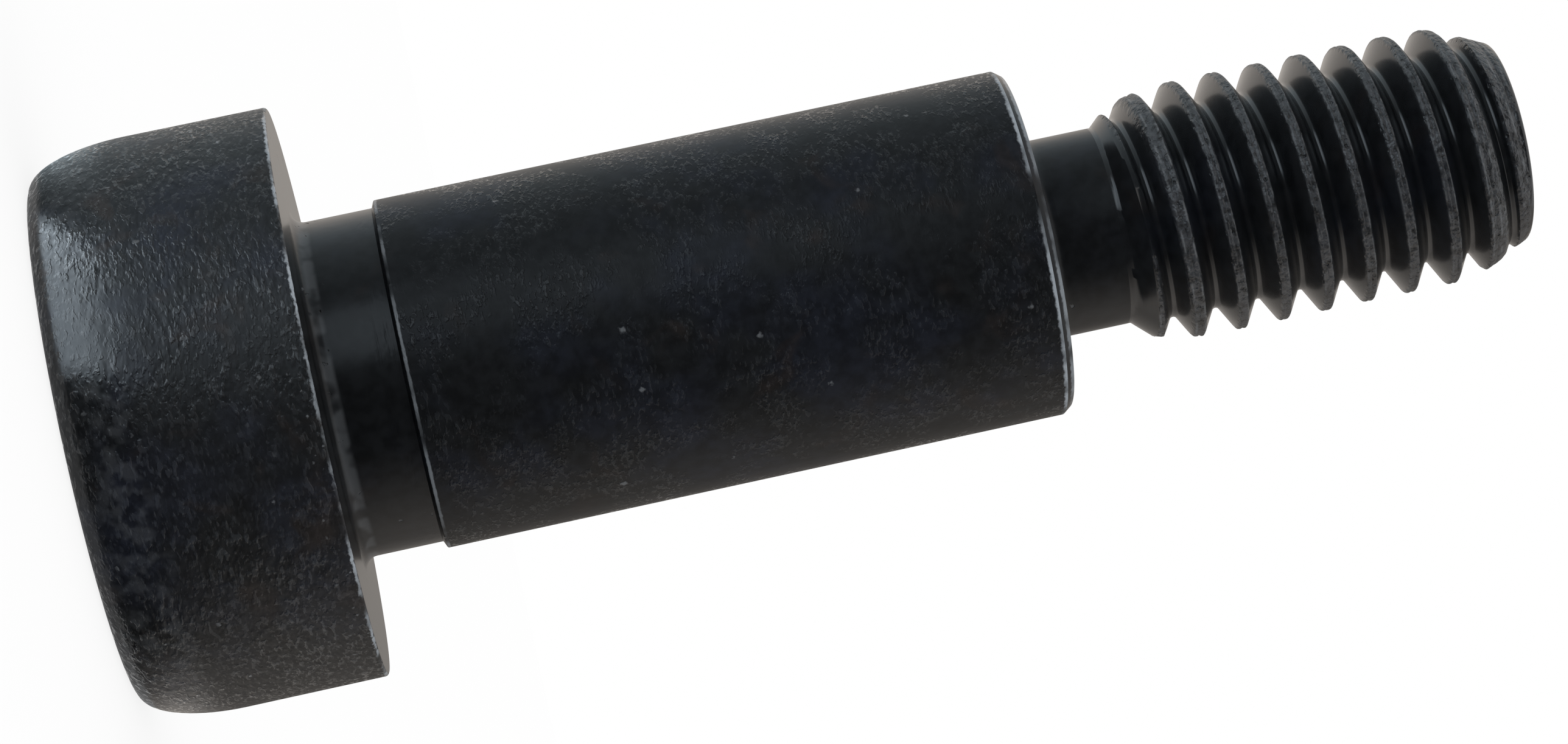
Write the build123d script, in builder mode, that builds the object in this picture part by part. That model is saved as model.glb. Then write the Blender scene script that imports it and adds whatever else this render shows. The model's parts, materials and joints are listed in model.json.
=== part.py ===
from build123d import *
import os
from math import ceil, cos, radians, sin, tan

# A shoulder bolt, turned from one bar, with a rolled thread and a hexagon socket.
# It stands on its head: +Z runs along the axis towards the thread, and the origin is
# the centre of the head's flat end face. All lengths are in millimetres.

# Head
head_diameter = 13.0
head_height = 5.4
rim_length = 2.2
rim_depth = 0.73
bearing_edge = 0.08

# Hexagon socket in the head's end face
socket_across_flats = 4.0
socket_depth = 3.3
socket_drill_diameter = 3.9
socket_point_depth = 1.1
socket_mouth_diameter = 4.9
socket_mouth_depth = 0.3

# Relief groove under the head, which lets a mating part seat square on the bearing face
relief_diameter = 7.64
relief_width = 1.8
relief_fillet = 0.3
relief_step = 0.2

# Ground shoulder, its length measured from the bearing face
shoulder_diameter = 7.97
shoulder_length = 16.25
shoulder_edge_length = 0.2
shoulder_edge_depth = 0.12

# Neck between the shoulder and the thread
neck_diameter = 4.54
neck_length = 1.5
neck_fillet = 0.4

# Rolled metric thread, right-handed, its lengths measured from the shoulder's end.
# The phase is where a crest crosses the +X side.
thread_part_length = 11.15
thread_diameter = 5.91
thread_pitch = 1.0
thread_pitch_diameter = 5.32
thread_root_diameter = 4.68
thread_angle = 60.0
thread_phase = 0.265

# Run-out at the neck: the crests rise steeply, then ease up to their full height
runout_rise = 0.46
runout_rise_length = 0.75
runout_ease_length = 1.75
root_rise_length = 0.4

# Tapered end of the thread, eased into the full crests
tip_diameter = 4.6
tip_length = 1.32
tip_ease_length = 0.53

# How deep the thread's foot lies in the core, how much it narrows towards the axis on
# each side, and how finely its helix is drawn
foot_depth = 0.9
foot_bury = 0.02
foot_gap = 0.03
foot_taper = 0.12
sections_per_turn = 12

# Radii and stations along the axis that follow from the sizes above
head_radius = head_diameter / 2
relief_radius = relief_diameter / 2
shoulder_radius = shoulder_diameter / 2
neck_radius = neck_diameter / 2
crest_radius = thread_diameter / 2
root_radius = thread_root_diameter / 2
tip_radius = tip_diameter / 2
shoulder_end = head_height + shoulder_length
runout_start = shoulder_end + neck_length
runout_knee = runout_start + runout_rise_length
runout_end = runout_knee + runout_ease_length
bolt_end = shoulder_end + thread_part_length
tip_start = bolt_end - tip_length
tip_slope = (crest_radius - tip_radius) / tip_length
foot_radius = root_radius - foot_depth
foot_half_width = (thread_pitch - foot_gap) / 2
flank = tan(radians(thread_angle / 2))
knee_radius = thread_pitch_diameter / 2 - (foot_half_width - thread_pitch / 4) / flank


def crest_limit(z):
    """Radius of the turned blank's outline at height z, which the crests reach."""
    if z < runout_knee:
        return neck_radius - foot_bury + runout_rise * (z - runout_start) / runout_rise_length
    if z < runout_end:
        knee_drop = crest_radius - neck_radius + foot_bury - runout_rise
        return crest_radius - knee_drop * ((runout_end - z) / runout_ease_length) ** 2
    if z < tip_start - tip_ease_length:
        return crest_radius
    if z < tip_start + tip_ease_length:
        return crest_radius - tip_slope * (z - tip_start + tip_ease_length) ** 2 / (4 * tip_ease_length)
    return crest_radius - foot_bury - tip_slope * (z - tip_start)


def ridge_half_width(radius):
    """Half the ridge's width along the axis, which shrinks outwards at the flank angle."""
    return min(foot_half_width, thread_pitch / 4 - (radius - thread_pitch_diameter / 2) * flank)


def ridge_side(centre, side):
    """Foot, knee and crest corner of one side of the ridge, each as radius and height."""
    radius = crest_radius
    for _ in range(20):
        radius = crest_limit(centre + side * ridge_half_width(radius))
    return [
        (foot_radius, centre + side * (foot_half_width - foot_taper)),
        (min(knee_radius, (foot_radius + radius) / 2 + foot_gap), centre + side * foot_half_width),
        (radius, centre + side * ridge_half_width(radius)),
    ]


# The thread's ridge, drawn section by section along its helix and lofted turn by turn
ridge_start = runout_start - foot_half_width
ridge_turns = ceil((bolt_end + foot_half_width - ridge_start) / thread_pitch)
with BuildPart() as thread_ridge:
    for turn in range(ridge_turns):
        for step in range(sections_per_turn + 1):
            centre = ridge_start + (turn + step / sections_per_turn) * thread_pitch
            azimuth = radians(360 * (centre - shoulder_end - thread_phase) / thread_pitch)
            radial_plane = Plane(
                origin=(0, 0, 0),
                x_dir=(cos(azimuth), sin(azimuth), 0),
                z_dir=(sin(azimuth), -cos(azimuth), 0),
            )
            with BuildSketch(radial_plane):
                with BuildLine():
                    Polyline(*ridge_side(centre, -1), *reversed(ridge_side(centre, 1)), close=True)
                make_face()
        loft()
    split(bisect_by=Plane.XY.offset(bolt_end - foot_bury), keep=Keep.BOTTOM)

with BuildPart() as shoulder_bolt:
    # Turned outline, from the head's end face to the thread's end
    with BuildSketch(Plane.XZ):
        with BuildLine():
            Line((0, 0), (head_radius - rim_depth, 0))
            EllipticalCenterArc(
                center=(head_radius - rim_depth, rim_length),
                x_radius=rim_depth,
                y_radius=rim_length,
                start_angle=-90,
                arc_size=90,
            )
            Polyline(
                (head_radius, rim_length),
                (head_radius, head_height - bearing_edge),
                (head_radius - bearing_edge, head_height),
                (relief_radius + relief_fillet, head_height),
            )
            TangentArc(
                (relief_radius + relief_fillet, head_height),
                (relief_radius, head_height + relief_fillet),
                tangent=(-1, 0),
            )
            Polyline(
                (relief_radius, head_height + relief_fillet),
                (relief_radius, head_height + relief_width),
                (shoulder_radius, head_height + relief_width + relief_step),
                (shoulder_radius, shoulder_end - shoulder_edge_length),
                (shoulder_radius - shoulder_edge_depth, shoulder_end),
                (neck_radius + neck_fillet, shoulder_end),
            )
            TangentArc(
                (neck_radius + neck_fillet, shoulder_end),
                (neck_radius, shoulder_end + neck_fillet),
                tangent=(-1, 0),
            )
            Polyline(
                (neck_radius, shoulder_end + neck_fillet),
                (neck_radius, runout_start),
                (root_radius, runout_start + root_rise_length),
                (root_radius, bolt_end - (root_radius - tip_radius) / tip_slope),
                (tip_radius, bolt_end),
                (0, bolt_end),
                (0, 0),
            )
        make_face()
    revolve(axis=Axis.Z)

    # Hexagon socket, with the drilled hole behind it and its countersunk mouth
    with BuildSketch(Plane.XY):
        RegularPolygon(radius=socket_across_flats / 2, side_count=6, major_radius=False)
    extrude(amount=socket_depth, mode=Mode.SUBTRACT)
    with BuildSketch(Plane.XZ):
        with BuildLine():
            Polyline(
                (0, 0),
                (socket_mouth_diameter / 2, 0),
                (socket_drill_diameter / 2, socket_mouth_depth),
                (socket_drill_diameter / 2, socket_depth),
                (0, socket_depth + socket_point_depth),
                close=True,
            )
        make_face()
    revolve(axis=Axis.Z, mode=Mode.SUBTRACT)

    add(thread_ridge.part)

shoulder_bolt.part.label = "shoulder_bolt"

os.makedirs("parts", exist_ok=True)
export_step(shoulder_bolt.part, "parts/shoulder_bolt.step")
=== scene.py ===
"""Dresses a shoulder bolt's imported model: its turned body, rolled thread, finish and studio."""

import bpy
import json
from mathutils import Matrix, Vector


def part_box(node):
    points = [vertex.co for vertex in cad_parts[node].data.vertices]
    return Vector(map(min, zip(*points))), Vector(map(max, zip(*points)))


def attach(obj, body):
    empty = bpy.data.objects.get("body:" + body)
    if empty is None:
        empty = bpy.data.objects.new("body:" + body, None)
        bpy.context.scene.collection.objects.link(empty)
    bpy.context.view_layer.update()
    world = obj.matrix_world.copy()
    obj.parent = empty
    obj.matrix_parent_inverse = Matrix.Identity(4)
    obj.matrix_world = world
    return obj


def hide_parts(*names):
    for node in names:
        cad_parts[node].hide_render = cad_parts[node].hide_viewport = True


bl_info = {
    "name": "Shoulder bolt",
    "version": (1, 0, 0),
    "blender": (4, 5, 0),
    "location": "3D View > Sidebar > Shoulder bolt",
    "description": "Models a black oxide shoulder bolt with a rolled thread around its frame",
    "category": "Add Mesh",
}

import json
import math

import bpy
import numpy as np
from mathutils import Matrix, Vector, noise

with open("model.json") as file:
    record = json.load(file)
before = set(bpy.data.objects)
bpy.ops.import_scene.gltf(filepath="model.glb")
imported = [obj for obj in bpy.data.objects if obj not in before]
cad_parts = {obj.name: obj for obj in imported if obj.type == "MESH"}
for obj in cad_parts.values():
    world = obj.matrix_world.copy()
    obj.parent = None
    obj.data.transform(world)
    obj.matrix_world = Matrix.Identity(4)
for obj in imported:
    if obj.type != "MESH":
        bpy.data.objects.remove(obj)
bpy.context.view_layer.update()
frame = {"record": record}

# The frame's own sizes, in metres: the bolt stands on its head, with its axis on +Z
NODE = "shoulder_bolt"
NODE_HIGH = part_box(NODE)[1]
MOUNTS = {mount["name"]: mount for mount in frame["record"]["mounts"]}
HEAD_HEIGHT = MOUNTS["bearing_face"]["pos_m"][2]
SHOULDER_RADIUS = MOUNTS["shoulder"]["dims"]["r_mm"] / 1000

# How finely the mesh is turned, and how close two points are to be one
COLUMNS = 180
WELD = 2e-6

# A narrow flat ring beside an edge, which keeps its shading crisp, and how far cutters CUT_OVERRUN
FLAT_MARGIN = 0.00005
CUT_OVERRUN = 0.0005
RIM_STEPS = 18
SMOOTH_BELOW = math.radians(38)

# The mesh's own layer that tells the thread's crests from its flanks
CREST_WEAR = "crest_wear"


def length(name, description, default):
    """A length that a user may change, in metres."""
    return bpy.props.FloatProperty(
        name=name, description=description, default=default, min=0.0, precision=6,
        subtype="DISTANCE", unit="LENGTH",
    )


def colour(name, description, default):
    """A colour that a user may change, in linear light."""
    return bpy.props.FloatVectorProperty(
        name=name, description=description, default=default, size=3, min=0.0, max=1.0,
        subtype="COLOR",
    )


class BodySizes(bpy.types.PropertyGroup):
    """Sizes of the turned body, from the head's end face to the neck."""

    head_radius: length("Head radius", "Radius of the head's side", NODE_HIGH.x)
    head_height: length("Head height", "Height of the bearing face", HEAD_HEIGHT)
    rim_length: length("Rim length", "Height of the rounded rim", 0.0022)
    rim_depth: length("Rim depth", "How far the rounded rim draws in", 0.00073)
    bearing_edge: length("Bearing edge", "Rounding of the head's bearing edge", 0.00008)
    relief_radius: length("Relief radius", "Radius of the relief groove", 0.00382)
    relief_width: length("Relief width", "Width of the relief groove", 0.0018)
    relief_fillet: length("Relief fillet", "Fillet between groove and head", 0.0003)
    relief_step: length("Relief step", "Length of the slope up to the shoulder", 0.00008)
    shoulder_radius: length("Shoulder radius", "Radius of the ground shoulder", SHOULDER_RADIUS)
    shoulder_length: length("Shoulder length", "From bearing face to shoulder end", 0.01625)
    end_edge_length: length("End edge length", "Length of the shoulder's end chamfer", 0.0002)
    end_edge_depth: length("End edge depth", "Depth of the shoulder's end chamfer", 0.00012)
    edge_round: length("Edge rounding", "Rounding of the turned edges", 0.00004)
    neck_radius: length("Neck radius", "Radius of the neck", 0.00227)
    neck_length: length("Neck length", "From shoulder end to thread run-out", 0.0018)
    neck_fillet: length("Neck fillet", "Fillet between shoulder end and neck", 0.0004)
    socket_across_flats: length("Socket size", "Across the hexagon's flats", 0.004)
    socket_depth: length("Socket depth", "Depth of the hexagon", 0.0033)
    socket_drill_radius: length("Socket drill radius", "Radius of the drilled hole", 0.00195)
    socket_point_depth: length("Socket point", "Depth of the drilled point", 0.0011)
    socket_mouth_radius: length("Socket mouth radius", "Radius of the countersink", 0.00245)
    socket_mouth_depth: length("Socket mouth depth", "Depth of the countersink", 0.0003)


class ThreadSizes(bpy.types.PropertyGroup):
    """Sizes of the rolled thread."""

    crest_radius: length("Crest radius", "Radius of the full crests", 0.002955)
    pitch: length("Pitch", "Distance from crest to crest", 0.001)
    pitch_radius: length("Pitch radius", "Radius where ridge and groove are as wide", 0.00266)
    root_radius: length("Root radius", "Radius of the groove's bottom", 0.00234)
    phase: length("Phase", "Crest place on +X, from the shoulder's end", 0.000265)
    crest_round: length("Crest rounding", "How softly flank and crest meet", 0.00004)
    runout_rise: length("Run-out rise", "Steep rise of the first crest", 0.00043)
    runout_rise_length: length("Run-out rise length", "Length of the steep rise", 0.00047)
    runout_ease_length: length("Run-out ease", "Length up to the full crest", 0.00175)
    root_rise_length: length("Root rise length", "Length from neck up to root", 0.0004)
    tip_radius: length("Tip radius", "Radius of the thread's end face", 0.0023)
    tip_length: length("Tip length", "Length of the tapered end", 0.00132)
    tip_ease_length: length("Tip ease", "Rounding length into the taper", 0.00053)
    tip_round: length("Tip rounding", "Rounding of the end face's edge", 0.00012)


class FinishColours(bpy.types.PropertyGroup):
    """Colours of the black oxide and of what shows where it has worn, and of the bright edge lines and
    pale groove foot that are partly painted highlight and reflection.
    """

    oxide_black: colour("Oxide black", "The oxide's main colour", (0.0056, 0.0064, 0.0074))
    oxide_blue: colour("Oxide blue", "The oxide's blue patches", (0.0060, 0.0076, 0.0128))
    oxide_brown: colour("Oxide brown", "The oxide's brown patches", (0.0125, 0.0088, 0.0075))
    # Grey of worn specks and strokes, which also tints the groove's foot band, where it stands partly
    # for a painted reflection
    wear_and_reflection_grey: colour("Worn grey", "Specks and strokes where the oxide is thin", (0.135, 0.145, 0.155))
    # The bright edge lines: partly bare steel where rubbed, partly a painted highlight
    bare_steel_and_highlight: colour("Bare steel", "Edges that are rubbed bright", (0.27, 0.30, 0.33))
    crest_grey: colour("Crest grey", "The rough crests of the thread", (0.034, 0.037, 0.042))


class StudioColours(bpy.types.PropertyGroup):
    """Colours of the floor and of what the bolt's gloss reflects."""

    floor_white: colour("Floor", "The floor's colour", (0.95, 0.95, 0.95))
    cool_side: colour("Cool side", "What the upper side reflects", (0.80, 0.93, 1.00))
    warm_side: colour("Warm side", "What the lower side reflects", (1.00, 0.93, 0.86))
    lamp_tint: colour("Lamp", "The lamp's light", (0.78, 0.9, 1.0))
    dark_side: colour("Dark side", "What the side towards the camera reflects", (0.02, 0.02, 0.022))


FLANK_SLOPE = math.tan(math.radians(30))

# The crests' worn zone, its dents, and the seam that wanders along its middle, in metres
CREST_DEPTH = 0.00009
DENT_DEPTH = 0.00002
SEAM_DEPTH = 0.000022
SEAM_WIDTH = 0.000028
SEAM_WANDER = 0.00004


def body_sizes():
    return bpy.context.scene.shoulder_bolt_body


def thread_sizes():
    return bpy.context.scene.shoulder_bolt_thread


def shoulder_end():
    return body_sizes().head_height + body_sizes().shoulder_length


def thread_start():
    """Height where the neck ends and the thread's mesh begins."""
    return shoulder_end() + body_sizes().neck_length - 0.0001


def leave_edit_mode():
    if bpy.context.object and bpy.context.object.mode != "OBJECT":
        bpy.ops.object.mode_set(mode="OBJECT")


def deselect_all():
    leave_edit_mode()
    bpy.ops.object.select_all(action="DESELECT")


def make_active(piece):
    deselect_all()
    piece.select_set(True)
    bpy.context.view_layer.objects.active = piece


def edit_whole(piece):
    """Opens edit mode on one piece with all its points selected."""
    make_active(piece)
    bpy.ops.object.mode_set(mode="EDIT")
    bpy.ops.mesh.select_mode(type="VERT")
    bpy.ops.mesh.select_all(action="SELECT")


def arc(centre, radius, start, end, steps):
    """Points on a circle's arc, as radius and height, from one angle to another in degrees."""
    points = []
    for step in range(steps + 1):
        angle = math.radians(start + (end - start) * step / steps)
        points.append((centre[0] + radius * math.cos(angle), centre[1] + radius * math.sin(angle)))
    return points


def lathe(name, outline):
    """A turned surface: a circle extruded and resized from point to point of an outline."""
    deselect_all()
    radius, height = outline[0]
    bpy.ops.mesh.primitive_circle_add(vertices=COLUMNS, radius=radius, location=(0, 0, 0))
    piece = bpy.context.object
    piece.name = name
    edit_whole(piece)
    bpy.ops.transform.translate(value=(0, 0, height))
    for next_radius, next_height in outline[1:]:
        rise = next_height - height
        bpy.ops.mesh.extrude_region_move(TRANSFORM_OT_translate={"value": (0, 0, rise)})
        scale = next_radius / radius
        bpy.ops.transform.resize(
            value=(scale, scale, 1), center_override=(0, 0, next_height)
        )
        radius, height = next_radius, next_height
    bpy.ops.object.mode_set(mode="OBJECT")
    return piece


def select_ring(piece, height, tolerance=WELD):
    """Selects in edit mode the vertices that lie at one height."""
    make_active(piece)
    bpy.ops.object.mode_set(mode="EDIT")
    bpy.ops.mesh.select_mode(type="VERT")
    bpy.ops.mesh.select_all(action="DESELECT")
    bpy.ops.object.mode_set(mode="OBJECT")
    for vertex in piece.data.vertices:
        vertex.select = abs(vertex.co.z - height) < tolerance
    bpy.ops.object.mode_set(mode="EDIT")


def weld(piece):
    """Merges doubled points and turns all faces outwards."""
    edit_whole(piece)
    bpy.ops.mesh.remove_doubles(threshold=WELD)
    bpy.ops.mesh.dissolve_degenerate(threshold=WELD / 4)
    bpy.ops.mesh.select_all(action="SELECT")
    bpy.ops.mesh.normals_make_consistent(inside=False)
    bpy.ops.object.mode_set(mode="OBJECT")


def body_outline(s):
    """The turned body's outline, from the head's end face to the neck's end."""
    rim_centre = s.head_radius - s.rim_depth
    rim = []
    for step in range(RIM_STEPS + 1):
        angle = math.pi / 2 * (step / RIM_STEPS - 1)
        rim.append((rim_centre + s.rim_depth * math.cos(angle), s.rim_length * (1 + math.sin(angle))))
    relief_end = s.head_height + s.relief_width
    end = s.head_height + s.shoulder_length
    fillet_foot = s.relief_radius + s.relief_fillet
    step_top = relief_end + s.relief_step
    step_lean = math.degrees(math.atan2(s.shoulder_radius - s.relief_radius, s.relief_step))
    chamfer_lean = math.degrees(math.atan2(s.end_edge_depth, s.end_edge_length))
    r = s.edge_round
    start_corner = arc((s.shoulder_radius - r, step_top + r * 0.5), r, -step_lean, 0, 3)
    chamfer_start = arc((s.shoulder_radius - r, end - s.end_edge_length), r, 0, chamfer_lean, 3)
    chamfer_end = arc(
        (s.shoulder_radius - s.end_edge_depth - r, end - r), r, chamfer_lean, 90, 3
    )
    return [
        (rim_centre - 4 * FLAT_MARGIN, 0),
        *rim,
        (s.head_radius, s.head_height - s.bearing_edge - FLAT_MARGIN),
        *arc(
            (s.head_radius - s.bearing_edge, s.head_height - s.bearing_edge),
            s.bearing_edge, 0, 90, 5,
        ),
        (s.head_radius - s.bearing_edge - FLAT_MARGIN, s.head_height),
        (fillet_foot + FLAT_MARGIN, s.head_height),
        *arc((fillet_foot, s.head_height + s.relief_fillet), s.relief_fillet, 270, 180, 8),
        (s.relief_radius, relief_end - FLAT_MARGIN),
        (s.relief_radius, relief_end),
        *start_corner,
        (s.shoulder_radius, step_top + r + FLAT_MARGIN),
        (s.shoulder_radius, (step_top + end) / 2),
        *chamfer_start,
        *chamfer_end,
        (s.shoulder_radius - s.end_edge_depth - r - FLAT_MARGIN, end),
        (s.neck_radius + s.neck_fillet + FLAT_MARGIN, end),
        *arc((s.neck_radius + s.neck_fillet, end + s.neck_fillet), s.neck_fillet, 270, 180, 8),
        (s.neck_radius, thread_start()),
    ]


def soft_least(a, b, softness):
    """The lesser of two numbers, with a rounded change from one to the other."""
    blend = np.clip(0.5 + 0.5 * (b - a) / softness, 0, 1)
    return b * (1 - blend) + a * blend - softness * blend * (1 - blend)


def ridge_radius(from_crest, t):
    """The thread's radius at a distance along the axis from the nearest crest."""
    from_crest = np.abs(from_crest)
    flank = soft_least(
        t.pitch_radius + (t.pitch / 4 - from_crest) / FLANK_SLOPE, t.crest_radius, t.crest_round
    )
    # The groove's bottom is an arc that both flanks run into
    sharp_root = t.pitch_radius - t.pitch / 4 / FLANK_SLOPE
    rounding = t.root_radius - sharp_root
    from_root = t.pitch / 2 - from_crest
    in_arc = from_root < rounding * math.cos(math.radians(30))
    drop = np.sqrt(np.clip(rounding**2 - from_root**2, 0, None))
    return np.where(in_arc, t.root_radius + rounding - drop, flank)


def crest_limit(z, s, t):
    """Radius of the turned blank's outline at height z, which the crests reach."""
    runout_start = shoulder_end() + s.neck_length
    knee = runout_start + t.runout_rise_length
    full = knee + t.runout_ease_length
    bolt_end = NODE_HIGH.z
    tip_start = bolt_end - t.tip_length
    slope = (t.crest_radius - t.tip_radius) / t.tip_length
    rise = s.neck_radius + t.runout_rise * (z - runout_start) / t.runout_rise_length
    drop = t.crest_radius - s.neck_radius - t.runout_rise
    ease = t.crest_radius - drop * (np.clip(full - z, 0, None) / t.runout_ease_length) ** 2
    taper = t.crest_radius - slope * (z - tip_start)
    bend = np.clip(z - tip_start + t.tip_ease_length, 0, None)
    rounded = t.crest_radius - slope * bend**2 / (4 * t.tip_ease_length)
    top = np.where(z < tip_start + t.tip_ease_length, rounded, taper)
    return np.where(z < knee, rise, np.minimum(ease, top))


def core_radius(z, s, t):
    """Radius of the thread's core, which rises from the neck to the groove's bottom."""
    runout_start = shoulder_end() + s.neck_length
    share = np.clip((z - runout_start) / t.root_rise_length, 0, 1)
    return s.neck_radius + (t.root_radius - s.neck_radius) * share


def tip_edge(t):
    """Where the tip's cone meets the rounding of the end face's edge, and the cone's lean."""
    slope = (t.crest_radius - t.tip_radius) / t.tip_length
    lean = math.atan(slope)
    height = NODE_HIGH.z - t.tip_round * (1 - math.sin(lean))
    radius = t.crest_radius - slope * (height - NODE_HIGH.z + t.tip_length)
    return radius, height, lean


def thread_steps(t):
    """Distances from the crest's centre at which the ridge's profile has a point."""
    shares = (
        0, 0.02, 0.04, 0.06, 0.08, 0.1, 0.12, 0.15, 0.2, 0.3, 0.38, 0.402, 0.42, 0.44, 0.46, 0.48, 0.5,
    )
    rising = [-share * t.pitch for share in reversed(shares)]
    return rising + [share * t.pitch for share in shares[1:]]


class SHOULDERBOLT_OT_turned_body(bpy.types.Operator):
    """Turns the head, relief groove, shoulder and neck, and closes the head's end face"""

    bl_idname = "shoulder_bolt.turned_body"
    bl_label = "Turned body"

    def execute(self, context):
        body = lathe("turned_body", body_outline(body_sizes()))
        select_ring(body, 0)
        bpy.ops.object.mode_set(mode="OBJECT")
        inner = min(math.hypot(v.co.x, v.co.y) for v in body.data.vertices if v.select)
        for vertex in body.data.vertices:
            if math.hypot(vertex.co.x, vertex.co.y) > inner + WELD:
                vertex.select = False
        bpy.ops.object.mode_set(mode="EDIT")
        bpy.ops.mesh.edge_face_add()
        select_ring(body, thread_start())
        bpy.ops.mesh.edge_face_add()
        weld(body)
        return {"FINISHED"}


def cut_away(piece, cutter):
    """Cuts one closed mesh out of another and deletes the cutter."""
    make_active(cutter)
    bpy.ops.object.transform_apply(location=True, rotation=True, scale=True)
    make_active(piece)
    cut = piece.modifiers.new("cut", "BOOLEAN")
    cut.operation = "DIFFERENCE"
    cut.solver = "EXACT"
    cut.object = cutter
    bpy.ops.object.modifier_apply(modifier=cut.name)
    bpy.data.objects.remove(cutter)


class SHOULDERBOLT_OT_hexagon_socket(bpy.types.Operator):
    """Cuts the hexagon socket, its drilled hole and its countersunk mouth into the head"""

    bl_idname = "shoulder_bolt.hexagon_socket"
    bl_label = "Hexagon socket"

    def execute(self, context):
        s = body_sizes()
        body = bpy.data.objects["turned_body"]
        deselect_all()
        bpy.ops.mesh.primitive_cylinder_add(
            vertices=6,
            radius=s.socket_across_flats / 2 / math.cos(math.radians(30)),
            depth=s.socket_depth + CUT_OVERRUN,
            location=(0, 0, (s.socket_depth - CUT_OVERRUN) / 2),
        )
        cut_away(body, bpy.context.object)
        deselect_all()
        bpy.ops.mesh.primitive_cone_add(
            vertices=64,
            radius1=s.socket_drill_radius,
            radius2=0,
            depth=s.socket_point_depth,
            location=(0, 0, s.socket_depth + s.socket_point_depth / 2 - WELD),
        )
        cut_away(body, bpy.context.object)
        deselect_all()
        mouth_slope = (s.socket_mouth_radius - s.socket_drill_radius) / s.socket_mouth_depth
        bpy.ops.mesh.primitive_cone_add(
            vertices=96,
            radius1=s.socket_mouth_radius + mouth_slope * CUT_OVERRUN,
            radius2=s.socket_mouth_radius - mouth_slope * s.socket_mouth_depth * 1.5,
            depth=CUT_OVERRUN + s.socket_mouth_depth * 1.5,
            location=(0, 0, (s.socket_mouth_depth * 1.5 - CUT_OVERRUN) / 2),
        )
        cut_away(body, bpy.context.object)
        return {"FINISHED"}


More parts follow.
